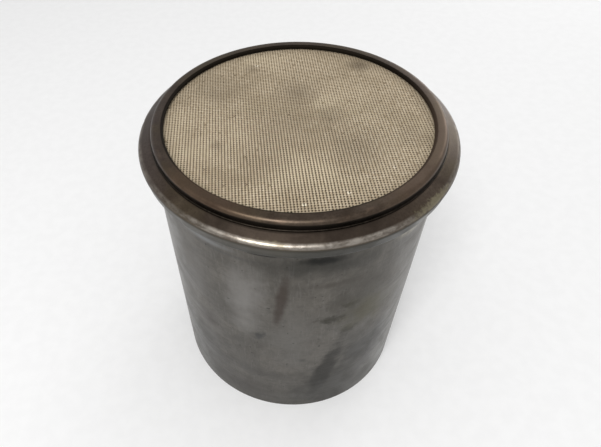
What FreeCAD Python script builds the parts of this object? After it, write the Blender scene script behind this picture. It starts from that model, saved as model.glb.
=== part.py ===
import FreeCAD, Part
import math
import os

# Canned exhaust particulate filter: a ceramic honeycomb held by a fibre mat
# in a rolled steel shell, with a clamp flange near the inlet end and a
# pressed retaining ring at each end.
# Units are mm, +Z is up, and the origin is the centre of the outlet end.

# Ceramic honeycomb
CORE_R = 120.65         # 9.5 in diameter
CORE_LENGTH = 304.8     # 12 in long
CORE_Z0 = 4.5           # outlet face
CORE_Z1 = CORE_Z0 + CORE_LENGTH
SKIN = 1.5              # smooth cement skin round the honeycomb
PLUG_DEPTH = 10.0       # depth of the plugged zone at each end

# Rolled shell
SHELL_R = 129.4
SHELL_WALL = 1.5
SHELL_BORE = SHELL_R - SHELL_WALL
SHELL_TOP = 304.5
SEAT_R = 128.8          # assumed: the shell is swaged down where the flange sits
SEAT_Z = 278.0
SEAM_WIDTH = 3.2        # longitudinal butt weld, rolled flush, on the back

# Support mat between honeycomb and shell
MAT_Z0 = 27.0
MAT_Z1 = 285.0

# Retaining rings, pressed channels that open towards the mat
OVERALL = 313.7
RING_R = 127.85         # outside of the skirt
RING_SHEET = 1.5
RING_EDGE = 4.4         # outer rounding
RING_LIP_EDGE = 2.6     # inner rounding
RING_LIP_R = 116.4      # opening of the ring
RING_SKIRT = 22.0       # depth of the skirt below the ring's face

# Knitted wire seal between ring and ceramic face
SEAL_R0 = 117.6
SEAL_R1 = 124.2
SEAL_GAP = 0.05

# Clamp flange, a machined V section round the shell
FLANGE_BORE = SEAT_R
FLANGE_R = 140.8
FLANGE_TOP = 304.8
NOSE_R = 5.0            # upper rounding of the rim
NOSE_Z = 296.4          # centre of the upper rounding
HEEL_R = 2.0            # lower rounding of the rim
HEEL_Z = 288.2
RIM_LEAN = 12.0         # the rim leans in below the nose
FACE_ANGLE = 24.0       # slope of both clamp faces from the horizontal
SLEEVE = 1.2            # assumed: thin sleeve under the flange
SLEEVE_Z = 279.4
FILLET = 4.0            # between underside and sleeve

# Weld bead on the inlet ring
RING_BEAD = 1.4


def v(r, z):
    """A point of a section, at radius r and height z."""
    return FreeCAD.Vector(r, 0, z)


def line(a, b):
    return Part.LineSegment(a, b).toShape()


def arc(centre, radius, start, end):
    """An arc in the section plane, from angle start to angle end in degrees."""
    points = []
    for angle in (start, (start + end) / 2.0, end):
        turn = FreeCAD.Rotation(FreeCAD.Vector(0, -1, 0), angle)
        points.append(centre + turn.multVec(FreeCAD.Vector(radius, 0, 0)))
    return Part.Arc(points[0], points[1], points[2]).toShape()


def ends(edge):
    return edge.valueAt(edge.FirstParameter), edge.valueAt(edge.LastParameter)


def revolve(edges):
    """The solid made by turning a closed section about the Z axis."""
    wire = Part.Wire(Part.__sortEdges__(edges))
    face = Part.Face(wire)
    return face.revolve(FreeCAD.Vector(0, 0, 0), FreeCAD.Vector(0, 0, 1), 360)


def polygon(points):
    """Edges of a closed polygon."""
    return [line(a, b) for a, b in zip(points, points[1:] + points[:1])]


def tube(r0, r1, z0, z1):
    """A plain ring or cylinder; r0 of 0 gives a cylinder."""
    body = Part.makeCylinder(r1, z1 - z0, FreeCAD.Vector(0, 0, z0))
    if r0 == 0:
        return body
    hole = Part.makeCylinder(r0, z1 - z0, FreeCAD.Vector(0, 0, z0))
    return body.cut(hole).Solids[0]


def shell_wall():
    """The whole rolled wall, with a small bevel on its lower outer edge."""
    bevel = 0.3
    return revolve(polygon([
        v(SHELL_BORE, 0),
        v(SHELL_R - bevel, 0),
        v(SHELL_R, bevel),
        v(SHELL_R, SEAT_Z),
        v(SEAT_R, SEAT_Z),
        v(SEAT_R, SHELL_TOP),
        v(SHELL_BORE, SHELL_TOP),
    ]))


def seam_block():
    """The strip of wall that the longitudinal weld takes up."""
    corner = FreeCAD.Vector(-SEAM_WIDTH / 2.0, SHELL_BORE - 2.0, 0)
    return Part.makeBox(SEAM_WIDTH, SHELL_WALL + 4.0, SHELL_TOP, corner)


def retaining_ring():
    """Inlet ring: outer skirt, rounded top and a short inner lip."""
    outer_c = v(RING_R - RING_EDGE, OVERALL - RING_EDGE)
    inner_c = v(RING_LIP_R + RING_LIP_EDGE, OVERALL - RING_LIP_EDGE)
    outside = arc(outer_c, RING_EDGE, 0, 90)
    lip = arc(inner_c, RING_LIP_EDGE, 90, 180)
    lip_in = arc(inner_c, RING_LIP_EDGE - RING_SHEET, 180, 90)
    outside_in = arc(outer_c, RING_EDGE - RING_SHEET, 90, 0)
    foot_z = OVERALL - RING_SKIRT
    foot_out = v(RING_R, foot_z)
    foot_in = v(RING_R - RING_SHEET, foot_z)
    return revolve([
        line(foot_out, ends(outside)[0]),
        outside,
        line(ends(outside)[1], ends(lip)[0]),
        lip,
        line(ends(lip)[1], ends(lip_in)[0]),
        lip_in,
        line(ends(lip_in)[1], ends(outside_in)[0]),
        outside_in,
        line(ends(outside_in)[1], foot_in),
        line(foot_in, foot_out),
    ])


def flip(shape):
    """The same piece at the other end, turned over about a level axis."""
    other = shape.copy()
    other.rotate(FreeCAD.Vector(0, 0, OVERALL / 2.0), FreeCAD.Vector(1, 0, 0), 180)
    return other


def mesh_seal():
    """Knitted wire ring packed between the ceramic and the ring's lip and face."""
    top = OVERALL - RING_SHEET - SEAL_GAP
    lip_foot = OVERALL - RING_LIP_EDGE
    return revolve(polygon([
        v(SEAL_R0, CORE_Z1),
        v(SEAL_R1, CORE_Z1),
        v(SEAL_R1, top - 0.15),
        v(SEAL_R1 - 0.8, top),
        v(RING_LIP_R + RING_LIP_EDGE + 0.05, top),
        v(RING_LIP_R + RING_SHEET + 0.1, lip_foot),
        v(SEAL_R0, lip_foot - 0.1),
    ]))


def clamp_flange():
    """V section ring: two sloping clamp faces, a rounded rim and a sleeve."""
    up = 90.0 - FACE_ANGLE
    lean = math.radians(RIM_LEAN)
    drop = (NOSE_Z - HEEL_Z) * math.sin(lean)
    heel_r = FLANGE_R - NOSE_R + (NOSE_R - HEEL_R - drop) / math.cos(lean)
    nose = arc(v(FLANGE_R - NOSE_R, NOSE_Z), NOSE_R, up, -RIM_LEAN)
    heel = arc(v(heel_r, HEEL_Z), HEEL_R, -RIM_LEAN, -up)
    nose_start, nose_end = ends(nose)
    heel_start, heel_end = ends(heel)
    turn = FreeCAD.Rotation(FreeCAD.Vector(0, -1, 0), -up)
    down = turn.multVec(FreeCAD.Vector(1, 0, 0))
    along = FreeCAD.Vector(-down.z, 0, down.x)
    fillet_r = FLANGE_BORE + SLEEVE + FILLET
    reach = (heel_end.x + FILLET * down.x - fillet_r) / along.x
    centre = heel_end + down * FILLET - along * reach
    foot = centre - down * FILLET
    fillet = arc(centre, FILLET, 180 - up, 180)
    sleeve_in = v(FLANGE_BORE, SLEEVE_Z)
    sleeve_out = v(FLANGE_BORE + SLEEVE, SLEEVE_Z)
    top_in = v(FLANGE_BORE, FLANGE_TOP)
    top_out = v(FLANGE_BORE + 0.6, FLANGE_TOP)
    return revolve([
        line(top_in, top_out),
        line(top_out, nose_start),
        nose,
        line(nose_end, heel_start),
        heel,
        line(heel_end, foot),
        fillet,
        line(ends(fillet)[1], sleeve_out),
        line(sleeve_out, sleeve_in),
        line(sleeve_in, top_in),
    ])


def flange_weld():
    """Bead that fills the corner between the flange's sleeve and the shell."""
    return revolve(polygon([
        v(SEAT_R, SLEEVE_Z),
        v(SEAT_R + SLEEVE, SLEEVE_Z),
        v(SEAT_R + SLEEVE - 0.1, SLEEVE_Z - 0.6),
        v(SHELL_R + 0.05, SEAT_Z + 0.3),
        v(SHELL_R, SEAT_Z),
        v(SEAT_R, SEAT_Z),
    ]))


def inlet_ring_weld():
    """Fillet bead between the shell's upper edge and the ring's skirt."""
    return revolve(polygon([
        v(RING_R, SHELL_TOP),
        v(SEAT_R - 0.1, SHELL_TOP),
        v(SEAT_R - 0.2, SHELL_TOP + 0.6),
        v(RING_R + 0.6, SHELL_TOP + RING_BEAD - 0.2),
        v(RING_R, SHELL_TOP + RING_BEAD),
    ]))


def outlet_ring_weld():
    """Bead that fills the groove between the outlet ring and the shell."""
    centre = v(RING_R - RING_EDGE, RING_EDGE)
    along_ring = arc(centre, RING_EDGE, -18, -48)
    start, end = ends(along_ring)
    corner = v(SHELL_BORE, start.z)
    low = v(SHELL_BORE, 0.6)
    return revolve([
        line(corner, start),
        along_ring,
        line(end, low),
        line(low, corner),
    ])


def pieces():
    core_r = CORE_R - SKIN
    ring = retaining_ring()
    seal = mesh_seal()
    wall = shell_wall()
    seam = seam_block()
    plug_in = CORE_Z1 - PLUG_DEPTH
    plug_out = CORE_Z0 + PLUG_DEPTH
    return {
        "shell_tube": wall.cut(seam).Solids[0],
        "shell_seam_weld": wall.common(seam).Solids[0],
        "clamp_flange": clamp_flange(),
        "flange_weld": flange_weld(),
        "inlet_end_ring": ring,
        "inlet_ring_weld": inlet_ring_weld(),
        "inlet_mesh_seal": seal,
        "outlet_end_ring": flip(ring),
        "outlet_ring_weld": outlet_ring_weld(),
        "outlet_mesh_seal": flip(seal),
        "support_mat": tube(CORE_R, SHELL_BORE, MAT_Z0, MAT_Z1),
        "monolith_skin": tube(core_r, CORE_R, CORE_Z0, CORE_Z1),
        "monolith_core": tube(0, core_r, plug_out, plug_in),
        "inlet_plug_layer": tube(0, core_r, plug_in, CORE_Z1),
        "outlet_plug_layer": tube(0, core_r, CORE_Z0, plug_out),
    }


def main():
    os.makedirs("parts", exist_ok=True)
    for name, shape in pieces().items():
        shape.exportStep("parts/" + name + ".step")
        print(name, shape.ShapeType, shape.isValid(), round(shape.Volume / 1000.0, 2), "cm3")


main()
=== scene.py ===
import math

import bpy
import numpy as np
from mathutils import Matrix, Vector


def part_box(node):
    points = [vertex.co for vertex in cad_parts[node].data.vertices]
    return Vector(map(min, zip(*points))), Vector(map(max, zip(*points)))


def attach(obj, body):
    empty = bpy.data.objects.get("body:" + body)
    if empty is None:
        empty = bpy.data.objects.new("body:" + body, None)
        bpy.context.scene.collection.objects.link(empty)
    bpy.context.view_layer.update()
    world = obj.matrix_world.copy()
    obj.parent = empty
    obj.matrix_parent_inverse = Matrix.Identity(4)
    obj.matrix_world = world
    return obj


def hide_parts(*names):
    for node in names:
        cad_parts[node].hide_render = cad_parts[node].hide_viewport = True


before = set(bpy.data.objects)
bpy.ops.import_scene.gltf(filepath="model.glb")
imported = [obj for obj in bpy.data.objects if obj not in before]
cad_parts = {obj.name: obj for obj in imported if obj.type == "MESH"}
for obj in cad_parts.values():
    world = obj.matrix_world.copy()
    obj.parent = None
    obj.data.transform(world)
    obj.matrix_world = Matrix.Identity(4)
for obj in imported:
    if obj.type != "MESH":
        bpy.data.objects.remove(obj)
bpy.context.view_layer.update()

MM = 0.001
rng = np.random.default_rng(20417)

# ---------------------------------------------------------------- dimensions
CELL = 25.4 / math.sqrt(200.0)      # 200 cells per square inch
CELL_WALL = 0.30
HALF_PITCH = CELL / math.sqrt(2.0)  # half the diagonal of a cell
CORE_R = 119.1                      # honeycomb inside its skin
CHANNEL_DEPTH = 9.0
FACE_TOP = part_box("inlet_plug_layer")[1].z / MM
FACE_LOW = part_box("outlet_plug_layer")[0].z / MM
SHELL_R = 129.4
SHELL_BORE = 127.9
SEAT_R = 128.8
SEAT_Z = 278.0
SHELL_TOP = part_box("shell_tube")[1].z / MM
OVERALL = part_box("inlet_end_ring")[1].z / MM
RING_R = 127.85
RING_SHEET = 1.5
RING_EDGE = 4.4
LIP_R = 116.4
LIP_EDGE = 2.6
SKIRT = 22.0
FLANGE_R = 140.7
NOSE_R = 5.0
NOSE_Z = 296.4
HEEL_R = 2.0
HEEL_Z = 288.2
RIM_LEAN = 12.0
FLANGE_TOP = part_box("clamp_flange")[1].z / MM
FACE_ANGLE = 24.0
SLEEVE_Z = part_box("clamp_flange")[0].z / MM
SLEEVE = 1.2
FILLET = 4.0
SEAL_R0 = 117.65

# Stains and painted light on the shell
STAIN_AND_LIGHT_WIDER = 1.3       # a mask's soft edge eats into its size
STAIN_AND_LIGHT_TALLER = 1.25
STAIN_AND_LIGHT_BROAD = 12.0      # half height from which a patch's edge is coarse
COARSE, FINE = 45.0, 150.0


# ---------------------------------------------------------------- mesh tools
def new_mesh(name, verts, faces, material, smooth=True, sharp=35.0):
    """A mesh object from vertices in mm."""
    mesh = bpy.data.meshes.new(name)
    verts = np.asarray(verts, float) * MM
    mesh.from_pydata(verts.tolist(), [], faces)
    mesh.validate()
    mesh.update()
    if smooth:
        mesh.polygons.foreach_set("use_smooth", [True] * len(mesh.polygons))
        mesh.set_sharp_from_angle(angle=math.radians(sharp))
    obj = bpy.data.objects.new(name, mesh)
    bpy.context.scene.collection.objects.link(obj)
    mesh.materials.append(material)
    return obj


def arc(cr, cz, radius, start, end, count):
    """Points of an arc in the (r, z) section, angles in degrees."""
    t = np.radians(np.linspace(start, end, count))
    return [(cr + radius * math.cos(a), cz + radius * math.sin(a)) for a in t]


def dense(points, step):
    """The same closed outline with points no further apart than step."""
    out = []
    for (r0, z0), (r1, z1) in zip(points, points[1:] + points[:1]):
        n = max(1, int(math.ceil(math.hypot(r1 - r0, z1 - z0) / step)))
        for k in range(n):
            out.append((r0 + (r1 - r0) * k / n, z0 + (z1 - z0) * k / n))
    return out


def wave(theta, z, seed, parts=6, low=2, high=9):
    """Smooth waviness round the axis, between about -1 and 1."""
    gen = np.random.default_rng(seed)
    total = np.zeros(np.broadcast(theta, z).shape)
    for _ in range(parts):
        k = gen.integers(low, high)
        total = total + gen.normal() * np.sin(k * theta + gen.uniform(0, 6.28)
                                              + z * gen.uniform(-0.02, 0.02))
    return total / parts


def lathe(name, outline, segments, material, shift=None, sharp=35.0):
    """Turns a closed (r, z) outline about Z; shift returns r and z moved a little."""
    rz = np.array(outline, float)
    theta = np.linspace(0, 2 * math.pi, segments, endpoint=False)
    t, r = np.meshgrid(theta, rz[:, 0], indexing="ij")
    z = np.broadcast_to(rz[:, 1], r.shape).copy()
    r = r.copy()
    if shift is not None:
        r, z = shift(t, r, z)
    verts = np.stack([r * np.cos(t), r * np.sin(t), z], -1).reshape(-1, 3)
    n = len(rz)
    i = np.arange(segments)[:, None]
    j = np.arange(n)[None, :]
    a = i * n + j
    b = ((i + 1) % segments) * n + j
    c = ((i + 1) % segments) * n + (j + 1) % n
    d = i * n + (j + 1) % n
    faces = np.stack([a, b, c, d], -1).reshape(-1, 4)
    return new_mesh(name, verts, faces.tolist(), material, sharp=sharp)


# ------------------------------------------------------------ material tools
class Nodes:
    """Short names for the nodes of one material."""

    def __init__(self, name):
        self.mat = bpy.data.materials.new(name)
        self.mat.use_nodes = True
        self.tree = self.mat.node_tree
        self.shader = self.tree.nodes["Principled BSDF"]
        coords = self.add("ShaderNodeTexCoord")
        self.pos = coords.outputs["Object"]
        split = self.add("ShaderNodeSeparateXYZ")
        self.link(self.pos, split.inputs[0])
        self.x, self.y = split.outputs[0], split.outputs[1]
        self.z = self.math("MULTIPLY", split.outputs[2], 1000.0)
        angle = self.math("ARCTAN2", self.y, self.x)
        self.az = self.math("MULTIPLY", angle, 180.0 / math.pi)
        self.r = self.math("MULTIPLY", self.length(self.x, self.y), 1000.0)

    def add(self, kind):
        return self.tree.nodes.new(kind)

    def link(self, a, b):
        self.tree.links.new(a, b)

    def put(self, socket, value):
        if isinstance(value, bpy.types.NodeSocket):
            self.link(value, socket)
        else:
            socket.default_value = value

    def math(self, op, a, b=0.0):
        node = self.add("ShaderNodeMath")
        node.operation = op
        self.put(node.inputs[0], a)
        if op not in ("SQRT", "ABSOLUTE"):
            self.put(node.inputs[1], b)
        return node.outputs[0]

    def length(self, a, b):
        total = self.math("ADD", self.math("MULTIPLY", a, a), self.math("MULTIPLY", b, b))
        return self.math("SQRT", total)

    def noise(self, scale, detail=4.0, rough=0.55, distort=0.0, seed=0.0):
        """Noise in object space; scale is features per metre."""
        mapping = self.add("ShaderNodeMapping")
        mapping.inputs["Location"].default_value = (seed, seed * 0.7, -seed * 1.3)
        self.link(self.pos, mapping.inputs["Vector"])
        node = self.add("ShaderNodeTexNoise")
        node.inputs["Scale"].default_value = scale
        node.inputs["Detail"].default_value = detail
        node.inputs["Roughness"].default_value = rough
        node.inputs["Distortion"].default_value = distort
        self.link(mapping.outputs[0], node.inputs["Vector"])
        return node.outputs["Fac"]

    def turned(self, around, along, detail=3.0, rough=0.6, seed=0.0):
        """Noise wrapped round the axis: cells per radian round, per metre along."""
        angle = self.math("ARCTAN2", self.y, self.x)
        cos = self.math("MULTIPLY", self.math("COSINE", angle), around)
        sin = self.math("MULTIPLY", self.math("SINE", angle), around)
        join = self.add("ShaderNodeCombineXYZ")
        self.put(join.inputs[0], self.math("ADD", cos, seed))
        self.put(join.inputs[1], sin)
        self.put(join.inputs[2], self.math("MULTIPLY", self.z, along / 1000.0))
        node = self.add("ShaderNodeTexNoise")
        node.inputs["Scale"].default_value = 1.0
        node.inputs["Detail"].default_value = detail
        node.inputs["Roughness"].default_value = rough
        self.link(join.outputs[0], node.inputs["Vector"])
        return node.outputs["Fac"]

    def ramp(self, value, low, high, out_low=0.0, out_high=1.0):
        node = self.add("ShaderNodeMapRange")
        node.interpolation_type = "SMOOTHSTEP"
        self.put(node.inputs["Value"], value)
        node.inputs["From Min"].default_value = low
        node.inputs["From Max"].default_value = high
        node.inputs["To Min"].default_value = out_low
        node.inputs["To Max"].default_value = out_high
        return node.outputs[0]

    def mix(self, fac, a, b):
        node = self.add("ShaderNodeMix")
        node.data_type = "RGBA"
        self.put(node.inputs[0], fac)
        self.put(node.inputs[6], (*a, 1.0) if isinstance(a, tuple) else a)
        self.put(node.inputs[7], (*b, 1.0) if isinstance(b, tuple) else b)
        return node.outputs[2]

    def lerp(self, fac, a, b):
        node = self.add("ShaderNodeMix")
        node.data_type = "FLOAT"
        self.put(node.inputs[0], fac)
        self.put(node.inputs[2], a)
        self.put(node.inputs[3], b)
        return node.outputs[0]

    def patch(self, az, z, half_az, half_z, soft=0.6, lean=0.0, wobble=0.8, scale=45.0, seed=0.0):
        """Mask of one soft-edged patch (stains, painted light and flange marks use it) at azimuth az
        (degrees) and height z (mm).
        """
        dz = self.math("SUBTRACT", self.z, z)
        da = self.math("SUBTRACT", self.az, az)
        if lean:
            da = self.math("SUBTRACT", da, self.math("MULTIPLY", dz, lean))
        u = self.math("DIVIDE", da, half_az)
        w = self.math("DIVIDE", dz, half_z)
        d = self.length(u, w)
        n = self.math("SUBTRACT", self.noise(scale, 3.0, 0.6, seed=seed), 0.5)
        d = self.math("ADD", d, self.math("MULTIPLY", n, wobble * 2.0))
        return self.ramp(d, 1.0, 1.0 - soft)

    def away(self, cx, cy):
        """Distance in metres from the upright line at x = cx, y = cy (mm)."""
        dx = self.math("SUBTRACT", self.x, cx * MM)
        dy = self.math("SUBTRACT", self.y, cy * MM)
        return self.length(dx, dy)

    def bump(self, height, distance, strength=1.0):
        node = self.add("ShaderNodeBump")
        node.inputs["Distance"].default_value = distance
        node.inputs["Strength"].default_value = strength
        self.link(height, node.inputs["Height"])
        return node.outputs[0]

    def finish(self, color, rough, normal=None, metallic=0.0, specular=0.5):
        s = self.shader
        self.put(s.inputs["Base Color"], (*color, 1.0) if isinstance(color, tuple) else color)
        self.put(s.inputs["Roughness"], rough)
        s.inputs["Metallic"].default_value = metallic
        s.inputs["Specular IOR Level"].default_value = specular
        if normal is not None:
            self.link(normal, s.inputs["Normal"])
        return self.mat


def shell_steel():
    m = Nodes("shell_steel")
    broad = m.noise(9.0, 3.0, 0.6, seed=3.1)
    mottle = m.noise(38.0, 5.0, 0.62, distort=0.4, seed=1.7)
    fine = m.noise(420.0, 3.0, 0.6, seed=5.2)
    roll = m.turned(2.2, 900.0, 2.0, 0.7)
    drip = m.turned(26.0, 7.0, 4.0, 0.6, seed=4.0)
    cloud = m.noise(15.0, 4.0, 0.6, distort=0.8, seed=6.6)
    color = m.mix(m.ramp(mottle, 0.30, 0.70), (0.096, 0.087, 0.075), (0.148, 0.136, 0.119))
    color = m.mix(m.ramp(cloud, 0.42, 0.60, 0.0, 0.60), color, (0.066, 0.061, 0.053))
    color = m.mix(m.ramp(broad, 0.35, 0.65, 0.0, 0.4), color, (0.132, 0.124, 0.112))
    color = m.mix(m.ramp(drip, 0.54, 0.74, 0.0, 0.22), color, (0.075, 0.070, 0.060))
    worn = m.noise(130.0, 5.0, 0.72, distort=0.6, seed=14.0)
    color = m.mix(m.ramp(worn, 0.40, 0.66, 0.0, 0.45), color, (0.064, 0.059, 0.052))
    brush = m.turned(60.0, 60.0, 4.0, 0.7, seed=21.0)
    color = m.mix(m.ramp(brush, 0.50, 0.70, 0.0, 0.35), color, (0.175, 0.168, 0.156))
    # painted shade: the shell darker towards the bottom, where the can shadows the floor it reflects
    foot = m.ramp(m.z, 75.0, 10.0)
    color = m.mix(m.math("MULTIPLY", foot, 0.45), color, (0.046, 0.044, 0.038))
    stains_and_painted_light = [
        # lighter areas: cleaner metal, and painted reflections where noted
        # painted reflection: a tall light strip up the right side, the bright floor mirrored in the wall
        (-25.0, 225.0, 11.0, 110.0, 1.0, 0.0, 0.25, (0.350, 0.345, 0.325), 0.92),
        (-115.0, 205.0, 9.0, 64.0, 1.0, 0.0, 0.50, (0.225, 0.216, 0.204), 0.85),
        # painted reflection: a light strip up the upper left side, the bright floor mirrored in the wall
        (-166.0, 250.0, 11.0, 60.0, 1.0, 0.0, 0.30, (0.215, 0.210, 0.200), 0.70),
        (-97.0, 150.0, 12.0, 60.0, 1.0, 0.0, 0.60, (0.150, 0.144, 0.134), 0.60),
        (-41.0, 60.0, 8.0, 60.0, 1.0, 0.0, 0.50, (0.150, 0.147, 0.136), 0.45),
        (150.0, 120.0, 24.0, 70.0, 1.0, 0.0, 0.50, (0.185, 0.180, 0.168), 0.60),
        (75.0, 215.0, 18.0, 60.0, 1.0, 0.0, 0.50, (0.190, 0.184, 0.172), 0.60),
        (20.0, 150.0, 16.0, 90.0, 1.0, 0.0, 0.50, (0.185, 0.180, 0.168), 0.55),
        # broad dark clouds
        # painted shade: the wall just below the flange's front darker
        (-86.0, 264.0, 28.0, 18.0, 0.9, 0.0, 0.40, (0.032, 0.031, 0.027), 0.78),
        (-59.0, 100.0, 18.0, 48.0, 0.7, 0.0, 0.55, (0.022, 0.020, 0.016), 0.86),
        (-74.0, 44.0, 22.0, 50.0, 0.8, 0.0, 0.60, (0.032, 0.030, 0.025), 0.80),
        (-144.0, 74.0, 20.0, 62.0, 0.9, 0.0, 0.70, (0.046, 0.043, 0.038), 0.70),
        (-66.0, 205.0, 17.0, 50.0, 0.9, 0.0, 0.70, (0.048, 0.043, 0.033), 0.66),
        (-136.0, 140.0, 8.0, 24.0, 1.0, 0.04, 0.70, (0.062, 0.053, 0.046), 0.70),
        (-150.0, 190.0, 9.0, 60.0, 1.0, 0.0, 0.60, (0.074, 0.067, 0.060), 0.55),
        (-140.0, 215.0, 12.0, 36.0, 1.0, 0.0, 0.50, (0.092, 0.084, 0.076), 0.45),
        (-124.0, 28.0, 22.0, 26.0, 1.0, 0.0, 0.60, (0.052, 0.045, 0.039), 0.72),
        (-62.0, 20.0, 24.0, 22.0, 1.0, 0.0, 0.50, (0.050, 0.047, 0.040), 0.65),
        (-108.0, 72.0, 24.0, 13.0, 1.0, 0.0, 0.60, (0.062, 0.058, 0.052), 0.62),
        # drips and smears
        (-100.5, 212.0, 2.3, 46.0, 0.8, 0.05, 0.55, (0.048, 0.035, 0.028), 0.75),
        (-79.0, 86.0, 4.8, 60.0, 0.6, 0.085, 0.65, (0.020, 0.018, 0.014), 0.88),
        (-80.0, 181.0, 5.6, 7.0, 0.9, 0.0, 1.00, (0.030, 0.027, 0.018), 0.85),
        (-72.0, 199.0, 4.2, 6.0, 0.9, 0.0, 1.00, (0.034, 0.031, 0.019), 0.82),
        (-71.0, 157.0, 4.0, 7.0, 0.9, 0.0, 1.00, (0.034, 0.031, 0.022), 0.80),
        (-56.0, 173.0, 6.0, 11.0, 0.9, 0.06, 1.00, (0.036, 0.032, 0.022), 0.80),
        (-62.0, 176.0, 14.0, 30.0, 1.0, 0.0, 0.80, (0.080, 0.072, 0.042), 0.72),
        (-109.5, 152.0, 3.4, 8.0, 1.0, 0.10, 1.00, (0.044, 0.045, 0.045), 0.75),
        (-120.0, 131.0, 3.6, 9.0, 1.0, 0.20, 0.60, (0.068, 0.064, 0.057), 0.50),
        (-90.0, 110.0, 2.2, 4.0, 1.0, 0.0, 0.60, (0.050, 0.048, 0.042), 0.55),
        (-78.0, 237.0, 17.0, 4.5, 1.0, 0.0, 0.40, (0.062, 0.054, 0.046), 0.55),
        (-64.0, 226.0, 9.0, 5.0, 1.0, 0.0, 0.50, (0.060, 0.052, 0.044), 0.50),
        # under the flange: painted reflections and painted shadows where noted, and a darker strip
        # painted reflection: a light band just under the flange on the left
        (-131.0, 270.5, 14.0, 4.2, 1.0, 0.0, 0.15, (0.205, 0.210, 0.212), 0.80),
        (-124.0, 264.0, 20.0, 3.0, 1.0, 0.0, 0.20, (0.070, 0.068, 0.066), 0.50),
        # painted reflection: a light zone under the flange on the right
        (-36.0, 268.0, 20.0, 9.0, 1.0, 0.0, 0.30, (0.480, 0.455, 0.370), 0.92),
        # painted shadow: two near-black spots in the deep shade under the flange's lip
        (-86.0, 271.0, 9.0, 6.2, 0.8, 0.0, 0.30, (0.010, 0.010, 0.009), 0.90),
        (-108.0, 275.5, 7.5, 2.0, 0.7, 0.0, 0.25, (0.016, 0.016, 0.015), 0.80),
        # far side
        (60.0, 150.0, 11.0, 60.0, 1.0, 0.05, 0.60, (0.072, 0.062, 0.048), 0.55),
        (118.0, 120.0, 8.0, 66.0, 1.0, -0.05, 0.60, (0.062, 0.055, 0.043), 0.60),
        (155.0, 225.0, 13.0, 26.0, 1.0, 0.0, 0.60, (0.070, 0.061, 0.048), 0.50),
        (100.0, 40.0, 26.0, 26.0, 1.0, 0.0, 0.50, (0.066, 0.061, 0.054), 0.55),
        (15.0, 70.0, 12.0, 36.0, 1.0, 0.04, 0.60, (0.070, 0.064, 0.052), 0.50),
    ]
    for k, (az, z, ha, hz, soft, lean, wob, tint, amount) in enumerate(stains_and_painted_light):
        scale = COARSE if hz > STAIN_AND_LIGHT_BROAD else FINE
        mask = m.patch(az, z, ha * STAIN_AND_LIGHT_WIDER, hz * STAIN_AND_LIGHT_TALLER, soft, lean, wob, scale,
                       seed=k * 2.3 + 0.5)
        color = m.mix(m.math("MULTIPLY", mask, amount), color, tint)
    specks = m.noise(260.0, 1.0, 0.4, seed=9.0)
    color = m.mix(m.ramp(specks, 0.73, 0.79, 0.0, 0.7), color, (0.035, 0.032, 0.028))
    rough = m.math("ADD", m.ramp(mottle, 0.3, 0.7, 0.30, 0.42), m.ramp(roll, 0.3, 0.7, -0.03, 0.05))
    height = m.math("ADD", m.math("MULTIPLY", roll, 0.5), m.math("MULTIPLY", fine, 0.35))
    height = m.math("ADD", height, m.math("MULTIPLY", mottle, 1.2))
    return m.finish(color, rough, m.bump(height, 0.00006, 0.6), metallic=1.0)


def tinted_steel(name, inner_soot):
    """Heat-tinted brown steel. The ring and flange brighten it where it is rubbed, and the flange's nose
    front carries a painted highlight.
    """
    m = Nodes(name)
    mottle = m.noise(55.0, 5.0, 0.62, distort=0.5, seed=2.2)
    fine = m.noise(600.0, 3.0, 0.6, seed=6.1)
    round_it = m.turned(1.5, 1500.0, 2.0, 0.7, seed=2.0)
    color = m.mix(m.ramp(mottle, 0.30, 0.70), (0.066, 0.048, 0.036), (0.104, 0.079, 0.060))
    left = m.ramp(m.x, -0.10, -0.135)
    color = m.mix(m.math("MULTIPLY", left, 0.55), color, (0.100, 0.081, 0.078))
    warm = m.ramp(m.noise(16.0, 3.0, 0.6, seed=7.0), 0.48, 0.66, 0.0, 0.6)
    color = m.mix(warm, color, (0.105, 0.083, 0.052))
    color = m.mix(m.ramp(fine, 0.42, 0.68, 0.0, 0.38), color, (0.045, 0.034, 0.026))
    rough = m.ramp(mottle, 0.3, 0.7, 0.30, 0.46)
    if inner_soot:
        soot = m.ramp(m.math("ADD", m.r, m.math("MULTIPLY", fine, 1.6)), 120.0, 118.8)
        color = m.mix(m.math("MULTIPLY", soot, 0.95), color, (0.014, 0.011, 0.008))
        rough = m.lerp(soot, rough, 0.70)
    height = m.math("ADD", m.math("MULTIPLY", round_it, 0.3), m.math("MULTIPLY", fine, 0.5))
    height = m.math("ADD", height, m.math("MULTIPLY", mottle, 0.8))
    return m, color, rough, height, mottle


def ring_steel():
    m, color, rough, height, _ = tinted_steel("ring_steel", True)
    scuff = m.turned(9.0, 300.0, 4.0, 0.65, seed=11.0)
    edge = m.math("MULTIPLY", m.ramp(m.r, 122.0, 124.5), m.ramp(scuff, 0.50, 0.70))
    color = m.mix(m.math("MULTIPLY", edge, 0.40), color, (0.20, 0.14, 0.10))
    copper = m.math("MULTIPLY", m.ramp(m.az, -72.0, -52.0), m.ramp(m.az, 30.0, -15.0))
    color = m.mix(m.math("MULTIPLY", copper, 0.40), color, (0.165, 0.112, 0.078))
    left = m.math("MULTIPLY", m.ramp(m.az, -156.0, -142.0), m.ramp(m.az, -104.0, -122.0))
    color = m.mix(m.math("MULTIPLY", left, 0.42), color, (0.150, 0.096, 0.064))
    # painted shade with some soot: the ring's outer wall near black down into the groove between ring
    # and flange
    groove_soot_and_shade = m.math("MULTIPLY", m.ramp(m.z, 311.2, 309.8), m.ramp(m.r, 125.0, 126.2))
    color = m.mix(m.math("MULTIPLY", groove_soot_and_shade, 0.93), color, (0.012, 0.010, 0.008))
    return m.finish(color, rough, m.bump(height, 0.00005, 0.6), metallic=1.0)


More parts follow.
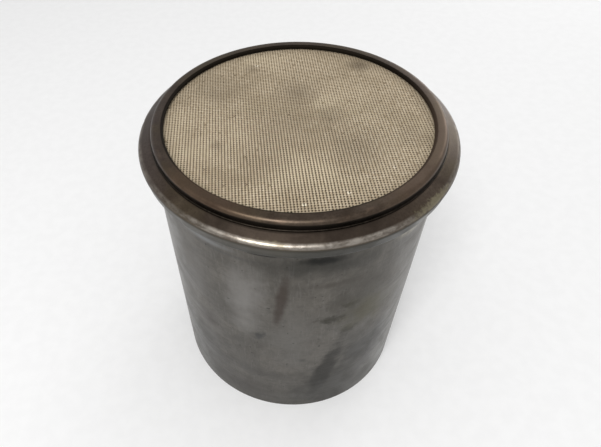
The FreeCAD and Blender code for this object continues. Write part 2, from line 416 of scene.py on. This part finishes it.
def flange_steel():
    m, color, rough, height, mottle = tinted_steel("flange_steel", False)
    wear_noise = m.turned(12.0, 260.0, 4.0, 0.7, seed=5.0)
    front = m.math("MULTIPLY", m.ramp(m.az, -138.0, -118.0), m.ramp(m.az, -52.0, -72.0))
    inner = m.ramp(m.r, 138.0, 136.0)
    shade = m.math("MULTIPLY", front, inner)
    color = m.mix(m.math("MULTIPLY", shade, 0.60), color, (0.040, 0.031, 0.025))
    nose = m.math("MULTIPLY", m.ramp(m.r, 136.2, 138.4), m.ramp(m.z, 297.4, 299.4))
    wear = m.math("MULTIPLY", nose, m.ramp(wear_noise, 0.36, 0.66, 0.25, 1.0))
    color = m.mix(m.math("MULTIPLY", wear, 0.72), color, (0.27, 0.24, 0.205))
    # painted highlight on real wear: the rubbed nose brightened further only across the front, where the
    # key light's highlight falls
    bright = m.math("MULTIPLY", wear, front)
    color = m.mix(m.math("MULTIPLY", bright, 0.80), color, (0.46, 0.42, 0.37))
    for az, z, ha, hz, amount in ((-47.0, 299.8, 13.0, 2.6, 0.75), (-105.0, 300.2, 9.0, 1.8, 0.35),
                                  (20.0, 300.0, 8.0, 2.0, 0.4), (95.0, 299.8, 12.0, 2.2, 0.5),
                                  (150.0, 300.0, 9.0, 2.0, 0.4)):
        mask = m.patch(az, z, ha, hz, 0.7, 0.0, 1.0, scale=330.0, seed=az * 0.1)
        color = m.mix(m.math("MULTIPLY", mask, amount), color, (0.26, 0.23, 0.15))
    below = m.ramp(m.z, 298.4, 296.8)
    color = m.mix(m.math("MULTIPLY", below, 0.85), color, (0.076, 0.073, 0.062))
    lower = m.ramp(m.z, 293.5, 287.5)
    color = m.mix(m.math("MULTIPLY", lower, 0.60), color, (0.034, 0.032, 0.026))
    dim = m.math("MULTIPLY", m.ramp(m.az, -102.0, -90.0), m.ramp(m.az, -50.0, -62.0))
    dim = m.math("MULTIPLY", dim, m.ramp(m.z, 298.0, 295.5))
    color = m.mix(m.math("MULTIPLY", dim, 0.70), color, (0.026, 0.025, 0.020))
    rough = m.lerp(m.math("MULTIPLY", wear, 0.6), rough, 0.27)
    return m.finish(color, rough, m.bump(height, 0.00005, 0.6), metallic=1.0)


def weld_steel(name, dark, light, tinted):
    m = Nodes(name)
    mottle = m.noise(300.0, 4.0, 0.6, seed=1.0)
    tint = m.noise(40.0, 3.0, 0.6, seed=4.4)
    color = m.mix(m.ramp(mottle, 0.3, 0.7), dark, light)
    color = m.mix(m.ramp(tint, 0.45, 0.65, 0.0, 0.6), color, tinted)
    return m.finish(color, m.ramp(mottle, 0.3, 0.7, 0.32, 0.5),
                    m.bump(mottle, 0.00006, 0.7), metallic=1.0)


def seal_wire():
    m = Nodes("seal_wire")
    grain = m.noise(900.0, 3.0, 0.6, seed=1.0)
    color = m.mix(m.ramp(grain, 0.35, 0.65), (0.022, 0.019, 0.016), (0.062, 0.054, 0.045))
    return m.finish(color, m.ramp(grain, 0.3, 0.7, 0.42, 0.62),
                    m.bump(grain, 0.0002, 0.8), metallic=0.9)


def ceramic_face():
    """Wall tops and plugs, with soot blotches and a few pale chips."""
    m = Nodes("ceramic_face")
    blotch = m.noise(22.0, 4.0, 0.6, distort=0.6, seed=2.0)
    cells = m.noise(330.0, 2.0, 0.6, seed=8.0)
    grain = m.noise(2600.0, 3.0, 0.65, seed=4.0)
    color = m.mix(m.ramp(cells, 0.32, 0.68), (0.425, 0.338, 0.228), (0.572, 0.482, 0.352))
    color = m.mix(m.ramp(blotch, 0.46, 0.68, 0.0, 0.46), color, (0.290, 0.228, 0.145))
    pale = m.noise(14.0, 3.0, 0.55, distort=0.4, seed=12.5)
    color = m.mix(m.ramp(pale, 0.48, 0.66, 0.0, 0.45), color, (0.640, 0.545, 0.385))
    rim = m.ramp(m.r, 104.0, 116.0, 0.0, 0.35)
    color = m.mix(rim, color, (0.26, 0.205, 0.138))
    color = m.mix(m.ramp(grain, 0.3, 0.7, 0.0, 0.18), color, (0.31, 0.255, 0.18))
    wander = m.math("ADD", m.noise(38.0, 4.0, 0.65, distort=0.5, seed=15.0), 0.40)
    for cx, cy, radius, amount in SMUDGES:
        d = m.math("MULTIPLY", m.away(cx, cy), wander)
        color = m.mix(m.ramp(d, radius * MM, 0.0, 0.0, amount), color, (0.13, 0.10, 0.068))
    for cx, cy, radius, amount in CHIPS:
        mask = m.ramp(m.away(cx, cy), radius * MM, radius * 0.5 * MM, 0.0, amount)
        color = m.mix(mask, color, (0.86, 0.78, 0.62))
    return m.finish(color, m.ramp(grain, 0.3, 0.7, 0.80, 0.95),
                    m.bump(grain, 0.00012, 0.7), specular=0.25)


def ceramic_channel():
    m = Nodes("ceramic_channel")
    grain = m.noise(1500.0, 3.0, 0.6, seed=3.0)
    cells = m.noise(300.0, 1.0, 0.5, seed=5.0)
    color = m.mix(m.ramp(grain, 0.3, 0.7), (0.030, 0.022, 0.015), (0.060, 0.046, 0.033))
    color = m.mix(m.ramp(cells, 0.55, 0.75, 0.0, 0.5), color, (0.10, 0.08, 0.055))
    # painted shade: channel walls darken with depth below the face, over a soot-dark base colour
    middle = (FACE_TOP + FACE_LOW) / 2
    depth = m.math("SUBTRACT", FACE_TOP - middle, m.math("ABSOLUTE", m.math("SUBTRACT", m.z, middle)))
    color = m.mix(m.ramp(depth, 1.35, 0.3, 0.0, 1.0), color, (0.40, 0.325, 0.225))
    return m.finish(color, m.ramp(grain, 0.3, 0.7, 0.85, 0.97),
                    m.bump(grain, 0.0001, 0.6), specular=0.15)


def ceramic_plain(name, dark, light, scale):
    m = Nodes(name)
    blotch = m.noise(30.0, 4.0, 0.6, seed=2.0)
    grain = m.noise(scale, 4.0, 0.65, seed=6.0)
    color = m.mix(m.ramp(grain, 0.3, 0.7), dark, light)
    color = m.mix(m.ramp(blotch, 0.45, 0.7, 0.0, 0.3), color, dark)
    return m.finish(color, m.ramp(grain, 0.3, 0.7, 0.82, 0.96),
                    m.bump(grain, 0.0002, 0.7), specular=0.25)


# Marks on the inlet face: x, y and radius in mm, amount.
SMUDGES = [
    (-70.0, 55.0, 45.0, 0.28),
    (-10.0, -10.0, 45.0, 0.24),
    (45.0, -40.0, 35.0, 0.34),
    (-30.0, -55.0, 30.0, 0.22),
    (5.0, 40.0, 25.0, 0.42),
    (30.0, 0.0, 20.0, 0.34),
    (95.0, -30.0, 20.0, 0.24),
    (70.0, 80.0, 15.0, 0.80),
    (-35.0, 85.0, 10.0, 0.34),
    (-70.0, -30.0, 8.0, 0.42),
]
CHIPS = [
    (-5.0, -105.0, 2.3, 0.9),
    (30.0, -95.0, 2.1, 0.85),
    (-30.0, 90.0, 2.4, 0.6),
    (70.0, -70.0, 2.0, 0.4),
]

SHELL = shell_steel()
RING = ring_steel()
FLANGE = flange_steel()
WELD = weld_steel("weld_steel", (0.085, 0.074, 0.060), (0.150, 0.136, 0.115), (0.085, 0.064, 0.050))
# the inlet ring's weld sits in the groove between ring and flange: near black for painted groove shade,
# with some soot
WELD_SOOT_AND_SHADE = weld_steel("weld_soot_and_shade", (0.020, 0.016, 0.012), (0.045, 0.036, 0.028), (0.03, 0.022, 0.016))
WIRE = seal_wire()
FACE = ceramic_face()
CHANNEL = ceramic_channel()
CORE = ceramic_plain("ceramic_core", (0.40, 0.33, 0.24), (0.58, 0.50, 0.38), 900.0)
SKIN = ceramic_plain("ceramic_skin", (0.42, 0.36, 0.28), (0.62, 0.55, 0.44), 500.0)
MAT = ceramic_plain("mat_fibre", (0.52, 0.49, 0.43), (0.74, 0.71, 0.64), 700.0)


# ---------------------------------------------------------------- honeycomb
def cell_grid(face_is_inlet):
    """Centres of all cells (mm) and whether each is open at this end."""
    n = int(CORE_R / HALF_PITCH) + 2
    i, j = np.meshgrid(np.arange(-n, n + 1), np.arange(-n, n + 1), indexing="ij")
    keep = (i + j) % 2 == 0
    i, j = i[keep], j[keep]
    x, y = i * HALF_PITCH, j * HALF_PITCH
    is_open = (i % 2 == 0) if face_is_inlet else (i % 2 != 0)
    return x, y, is_open


def sag(x, y):
    """Slight unevenness of the cut face, and the dips of its chips, in mm."""
    z = 0.10 * np.sin(x * 0.045 + 1.0) * np.cos(y * 0.038) + 0.05 * np.sin(0.13 * x + 0.17 * y)
    for cx, cy, radius, _ in CHIPS:
        d2 = (x - cx) ** 2 + (y - cy) ** 2
        z = z - 0.55 * np.exp(-d2 / (0.45 * radius ** 2))
    return z - 0.2


DIAMOND = np.array([(1, 0), (0, 1), (-1, 0), (0, -1)], float)


def honeycomb(prefix, face_z, up, face_is_inlet):
    """Wall tops with plugs, and the open channels behind them, at one end."""
    x, y, is_open = cell_grid(face_is_inlet)
    outer = DIAMOND[None] * HALF_PITCH + np.stack([x, y], -1)[:, None]
    reach = np.hypot(outer[..., 0], outer[..., 1])
    inside = reach.max(1) < CORE_R
    border = ~inside & (reach.min(1) < CORE_R)
    half = (CELL - CELL_WALL) / math.sqrt(2.0)

    def place(points, depth):
        z = face_z + up * (sag(points[..., 0], points[..., 1]) - depth)
        return np.concatenate([points, z[..., None]], -1)

    def ring_faces(base_a, base_b):
        out = []
        for k in range(4):
            out.append(np.stack([base_a + k, base_a + (k + 1) % 4,
                                 base_b + (k + 1) % 4, base_b + k], -1))
        return np.concatenate(out)

    verts, quads, tris = [], [], []
    start = 0

    def block(points):
        nonlocal start
        flat = points.reshape(-1, 3)
        verts.append(flat)
        first = start + np.arange(points.shape[0]) * points.shape[1]
        start += len(flat)
        return first

    o = inside & is_open
    size = half * rng.normal(1.0, 0.035, o.sum())
    centre = np.stack([x[o], y[o]], -1) + rng.normal(0, 0.02, (o.sum(), 2))
    inner_open = DIAMOND[None] * size[:, None, None] + centre[:, None]
    a = block(place(outer[o], 0.0))
    b = block(place(inner_open, 0.0))
    quads.append(ring_faces(a, b))

    p = inside & ~is_open
    size = half * rng.normal(0.99, 0.03, p.sum())
    centre = np.stack([x[p], y[p]], -1)
    inner_plug = DIAMOND[None] * size[:, None, None] + centre[:, None]
    depth = rng.uniform(0.03, 0.22, p.sum())
    missing = rng.random(p.sum()) < 0.006
    depth[missing] = rng.uniform(0.8, 2.0, missing.sum())
    a = block(place(outer[p], 0.0))
    b = block(place(inner_plug, depth[:, None]))
    dome = depth * rng.uniform(0.3, 1.6, p.sum())
    c = block(place(centre[:, None] + rng.normal(0, 0.12, (p.sum(), 1, 2)), dome[:, None]))
    quads.append(ring_faces(a, b))
    for k in range(4):
        tris.append(np.stack([b + k, b + (k + 1) % 4, c], -1))

    pts = outer[border]
    far = np.hypot(pts[..., 0], pts[..., 1])
    pts = pts * np.minimum(1.0, CORE_R / far)[..., None]
    a = block(place(pts, 0.02))
    quads.append(np.stack([a, a + 1, a + 2, a + 3], -1))

    faces = np.concatenate(quads).tolist() + np.concatenate(tris).tolist()
    if up < 0:
        faces = [f[::-1] for f in faces]
    web = new_mesh(prefix + "_face_webs", np.concatenate(verts), faces, FACE, smooth=False)

    verts, quads, start = [], [], 0
    top = place(inner_open, 0.0)
    low = top.copy()
    low[..., 2] = face_z - up * CHANNEL_DEPTH
    a = block(top)
    b = block(low)
    quads.append(ring_faces(a, b))
    quads.append(np.stack([b, b + 1, b + 2, b + 3], -1))
    faces = np.concatenate(quads).tolist()
    if up < 0:
        faces = [f[::-1] for f in faces]
    deep = new_mesh(prefix + "_channels", np.concatenate(verts), faces, CHANNEL, smooth=False)
    return web, deep


def add_piece(obj, slot, *nodes):
    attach(obj, "root")
    if nodes:
        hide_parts(*nodes)
    return obj


web, deep = honeycomb("inlet", FACE_TOP, 1.0, True)
add_piece(web, "ceramic_face", "inlet_plug_layer")
add_piece(deep, "ceramic_face", "inlet_plug_layer")
web, deep = honeycomb("outlet", FACE_LOW, -1.0, False)
add_piece(web, "ceramic_face", "outlet_plug_layer")
add_piece(deep, "ceramic_face", "outlet_plug_layer")


# -------------------------------------------------------------- steel pieces
def ring_outline():
    outer = arc(RING_R - RING_EDGE, OVERALL - RING_EDGE, RING_EDGE, 0, 90, 13)
    lip = arc(LIP_R + LIP_EDGE, OVERALL - LIP_EDGE, LIP_EDGE, 90, 180, 12)
    lip_in = arc(LIP_R + LIP_EDGE, OVERALL - LIP_EDGE, LIP_EDGE - RING_SHEET, 180, 90, 7)
    outer_in = arc(RING_R - RING_EDGE, OVERALL - RING_EDGE, RING_EDGE - RING_SHEET, 90, 0, 7)
    foot = OVERALL - SKIRT
    points = [(RING_R, foot)] + outer + lip + lip_in + outer_in + [(RING_R - RING_SHEET, foot)]
    return dense(points, 2.4)


def ring_shift(seed):
    def shift(t, r, z):
        edge = np.clip((z - 305.0) / 4.0, 0, 1)
        r = r + 0.12 * edge * wave(t, z, seed) * (r < 126.5)
        z = z - 0.10 * edge * (1 + wave(t, z, seed + 1, low=2, high=12)) * 0.5
        return r, z
    return shift


inlet_ring = lathe("inlet_ring_pressed", ring_outline(), 420, RING, ring_shift(31))
add_piece(inlet_ring, "ring_steel", "inlet_end_ring")

outlet_ring = lathe("outlet_ring_pressed", ring_outline(), 420, RING, ring_shift(57))
outlet_ring.data.transform(Matrix.Translation((0, 0, OVERALL * MM)) @ Matrix.Rotation(math.pi, 4, "X"))
add_piece(outlet_ring, "ring_steel", "outlet_end_ring")


def flange_outline():
    up = 90.0 - FACE_ANGLE
    lean = math.radians(RIM_LEAN)
    drop = (NOSE_Z - HEEL_Z) * math.sin(lean)
    heel_r = FLANGE_R - NOSE_R + (NOSE_R - HEEL_R - drop) / math.cos(lean)
    nose = arc(FLANGE_R - NOSE_R, NOSE_Z, NOSE_R, up, -RIM_LEAN, 15)
    heel = arc(heel_r, HEEL_Z, HEEL_R, -RIM_LEAN, -up, 8)
    down = (math.cos(math.radians(up)), -math.sin(math.radians(up)))
    along = (math.sin(math.radians(up)), math.cos(math.radians(up)))
    fillet_r = SEAT_R + SLEEVE + FILLET
    end_r, end_z = heel[-1]
    reach = (end_r + FILLET * down[0] - fillet_r) / along[0]
    centre_z = end_z + FILLET * down[1] - along[1] * reach
    fillet = arc(fillet_r, centre_z, FILLET, 180 - up, 180, 9)
    points = [(SEAT_R + 0.02, FLANGE_TOP), (SEAT_R + 0.6, FLANGE_TOP)] + nose + heel + fillet
    points += [(SEAT_R + SLEEVE, SLEEVE_Z), (SEAT_R + 0.02, SLEEVE_Z)]
    return dense(points, 1.6)


# Nicks on the flange's nose: azimuth, half width in degrees, depth in mm, height.
NICKS = [(-52.0, 1.3, 0.45, 299.0), (-44.0, 0.8, 0.30, 298.6), (-60.5, 0.9, 0.25, 299.4),
         (-109.0, 0.9, 0.28, 300.0), (-133.0, 0.7, 0.22, 299.6), (-21.0, 1.0, 0.25, 298.2),
         (34.0, 1.2, 0.35, 299.0), (88.0, 1.6, 0.40, 298.8), (131.0, 0.9, 0.3, 299.0),
         (171.0, 1.1, 0.3, 298.4)]


def flange_shift(t, r, z):
    out = np.clip((r - 131.0) / 6.0, 0, 1)
    z = z + 0.18 * out * wave(t, z, 71)
    for az, half, depth, height in NICKS:
        d = (np.degrees(t) - az + 180.0) % 360.0 - 180.0
        spot = np.exp(-(d / half) ** 2 - ((z - height) / 1.6) ** 2)
        r = r - depth * spot * (r > 134.0)
    return r, z


flange = lathe("clamp_flange_turned", flange_outline(), 720, FLANGE, flange_shift)
add_piece(flange, "flange_steel", "clamp_flange")


def shell_outline():
    bevel = 0.3
    wall = [(SHELL_R - bevel, 0.0), (SHELL_R, bevel), (SHELL_R, SEAT_Z), (SEAT_R, SEAT_Z),
            (SEAT_R, SHELL_TOP), (SHELL_BORE, SHELL_TOP), (SHELL_BORE, 0.0)]
    return dense(wall, 7.0)


def shell_shift(t, r, z):
    free = np.clip((z - 4.0) / 30.0, 0, 1) * np.clip((276.0 - z) / 14.0, 0, 1)
    soft = wave(t, z, 91, parts=7, low=2, high=7) + 0.6 * wave(t, z * 2.3, 95, low=5, high=14)
    return r + 0.16 * free * soft, z


shell = lathe("shell_rolled", shell_outline(), 360, SHELL, shell_shift)
add_piece(shell, "shell_steel", "shell_tube")


def bead(name, outline, count, amount, node, material):
    """A weld bead with overlapping ripples."""
    rz = np.array(outline, float)
    middle = rz.mean(0)

    def shift(t, r, z):
        gen = np.random.default_rng(len(name))
        drift = 0.6 * np.sin(3 * t + gen.uniform(0, 6)) + 0.4 * np.sin(11 * t + gen.uniform(0, 6))
        ripple = 1.0 - np.abs(np.sin(0.5 * count * t + drift)) ** 0.7
        scale = 1.0 - amount * ripple
        return middle[0] + (r - middle[0]) * scale, middle[1] + (z - middle[1]) * scale

    return add_piece(lathe(name, outline, count * 5, material, shift, sharp=60.0), "weld_steel", node)


def arc3(a, b, c, count=6):
    """Points of a smooth bow from a to c past b."""
    t = np.linspace(0, 1, count)[:, None]
    a, b, c = (np.array(p, float) for p in (a, b, c))
    control = 2 * b - 0.5 * (a + c)
    curve = (1 - t) ** 2 * a + 2 * t * (1 - t) * control + t ** 2 * c
    return [tuple(p) for p in curve]


bead("inlet_ring_bead", [(RING_R, SHELL_TOP), (SEAT_R - 0.15, SHELL_TOP)]
     + arc3((SEAT_R - 0.25, SHELL_TOP + 0.5), (RING_R + 0.7, SHELL_TOP + 1.0),
            (RING_R + 0.05, SHELL_TOP + 1.3)), 380, 0.22, "inlet_ring_weld", WELD_SOOT_AND_SHADE)
bead("flange_bead", [(SEAT_R + 0.1, SLEEVE_Z), (SEAT_R + 0.1, SEAT_Z)]
     + arc3((SHELL_R - 0.05, SEAT_Z), (SHELL_R + 0.2, SEAT_Z + 0.6), (SEAT_R + 1.1, SLEEVE_Z)),
     400, 0.16, "flange_weld", WELD)
bead("outlet_ring_bead", [(SHELL_BORE, RING_EDGE - 1.4), (RING_R - 0.17, RING_EDGE - 1.4)]
     + arc(RING_R - RING_EDGE, RING_EDGE, RING_EDGE, -22, -48, 5) + [(SHELL_BORE, 0.6)],
     380, 0.14, "outlet_ring_weld", WELD)


def seam_bead():
    """Long butt weld on the back of the shell, rolled nearly flush, with chevron ripples."""
    low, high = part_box("shell_seam_weld")
    z0, z1 = low.z / MM + 0.8, SEAT_Z - 1.0
    half = (high.x - low.x) / 2 / MM
    across = np.linspace(-1, 1, 9)
    zz, aa = np.meshgrid(np.arange(z0, z1, 0.45), across, indexing="ij")
    ripple = 0.5 + 0.5 * np.sin((zz + 0.8 * aa ** 2) * 2 * math.pi / 1.9)
    x = aa * half * (0.88 + 0.06 * np.sin(zz * 0.21) + 0.04 * np.sin(zz * 0.77))
    wall = np.sqrt((SHELL_R - 0.3) ** 2 - x ** 2)
    y = wall + (1 - aa ** 2) * (0.42 + 0.14 * ripple)
    outer = np.stack([x, y, zz], -1)
    inner = np.stack([x, wall - 0.05, zz], -1)
    n, k = zz.shape
    verts = np.concatenate([outer.reshape(-1, 3), inner.reshape(-1, 3)])
    faces = []
    for i in range(n - 1):
        for j in range(k - 1):
            a = i * k + j
            faces.append((a, a + 1, a + k + 1, a + k))
            b = n * k + a
            faces.append((b, b + k, b + k + 1, b + 1))
        for j in (0, k - 1):
            a = i * k + j
            side = (a, a + k, a + k + n * k, a + n * k)
            faces.append(side if j == 0 else side[::-1])
    for row in (0, n - 1):
        for j in range(k - 1):
            a = row * k + j
            cap = (a, a + n * k, a + 1 + n * k, a + 1)
            faces.append(cap if row == 0 else cap[::-1])
    obj = new_mesh("shell_seam_bead", verts, faces, WELD, sharp=60.0)
    return add_piece(obj, "weld_steel", "shell_seam_weld")


seam_bead()


def knit_shift(t, r, z):
    loops = np.sin(t * 380) * np.cos((z - r) * 4.2) + 0.6 * np.sin(t * 760 + z * 5.0)
    return r - 0.10 * np.abs(loops), z - 0.04 * np.abs(loops)


def seal(name, node):
    low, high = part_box(node)
    r0, r1 = SEAL_R0, high.x / MM
    top = (high.z - low.z) / MM
    foot = top + RING_SHEET - LIP_EDGE
    points = [(r0, 0.03), (r1, 0.03), (r1, top - 0.15), (r1 - 0.8, top), (LIP_R + LIP_EDGE + 0.1, top),
              (LIP_R + RING_SHEET + 0.15, foot), (r0, foot - 0.1)]
    face, up = (FACE_TOP, 1.0) if low.z > 0.1 else (FACE_LOW, -1.0)
    points = [(r, face + up * h) for r, h in points]
    obj = lathe(name, dense(points[::int(up)], 0.6), 1500, WIRE, knit_shift, sharp=80.0)
    return add_piece(obj, "seal_mesh", node)


seal("inlet_seal_knit", "inlet_mesh_seal")
seal("outlet_seal_knit", "outlet_mesh_seal")

for node, material in (("support_mat", MAT), ("monolith_skin", SKIN), ("monolith_core", CORE)):
    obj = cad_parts[node]
    obj.data.materials.clear()
    obj.data.materials.append(material)


# ------------------------------------------------------------ stage and light
def floor_material():
    m = Nodes("floor")
    grain = m.noise(60.0, 2.0, 0.5)
    color = m.mix(m.ramp(grain, 0.3, 0.7), (0.90, 0.90, 0.90), (0.92, 0.92, 0.92))
    return m.finish(color, 0.75, specular=0.2)


bpy.ops.mesh.primitive_plane_add(size=14.0, location=(0, 0, 0))
floor = bpy.context.object
floor.name = "floor"
floor.data.materials.append(floor_material())


def area_light(name, size, energy, az, el, far, target):
    """A soft rectangular light at azimuth az, elevation el and distance far."""
    az, el = math.radians(az), math.radians(el)
    place = Vector((math.cos(el) * math.cos(az), math.cos(el) * math.sin(az), math.sin(el))) * far
    data = bpy.data.lights.new(name, "AREA")
    data.shape = "RECTANGLE"
    data.size, data.size_y = size
    data.energy = energy
    obj = bpy.data.objects.new(name, data)
    obj.location = place
    aim = Vector(target) - place
    obj.rotation_euler = aim.to_track_quat("-Z", "Y").to_euler()
    bpy.context.scene.collection.objects.link(obj)


area_light("key", (1.1, 1.1), 44.0, -115.0, 56.0, 3.0, (0, 0, 0.2))
area_light("side", (1.5, 1.3), 12.0, 50.0, 22.0, 2.6, (0, 0, 0.25))

world = bpy.data.worlds.new("studio")
world.use_nodes = True
background = world.node_tree.nodes["Background"]
background.inputs["Color"].default_value = (1.0, 1.0, 1.0, 1.0)
background.inputs["Strength"].default_value = 0.62
bpy.context.scene.world = world
bpy.context.scene.view_settings.view_transform = "Standard"

# --------------------------------------------------------------------- camera
camera_data = bpy.data.cameras.new("camera")
camera_data.sensor_width = 36.0
camera_data.lens = 30.404
camera_data.shift_x = 0.0836
camera_data.shift_y = 0.0313
camera_data.clip_start = 0.01
camera = bpy.data.objects.new("camera", camera_data)
right = Vector((0.99837, -0.04349, -0.03705))
back = Vector((0.0, -0.6485, 0.7612))
upward = back.cross(right).normalized()
right = upward.cross(back).normalized()
turn = Matrix((right, upward, back)).transposed().to_4x4()
camera.matrix_world = Matrix.Translation((-0.0466, -0.3686, 0.5788)) @ turn
bpy.context.scene.collection.objects.link(camera)
bpy.context.scene.camera = camera
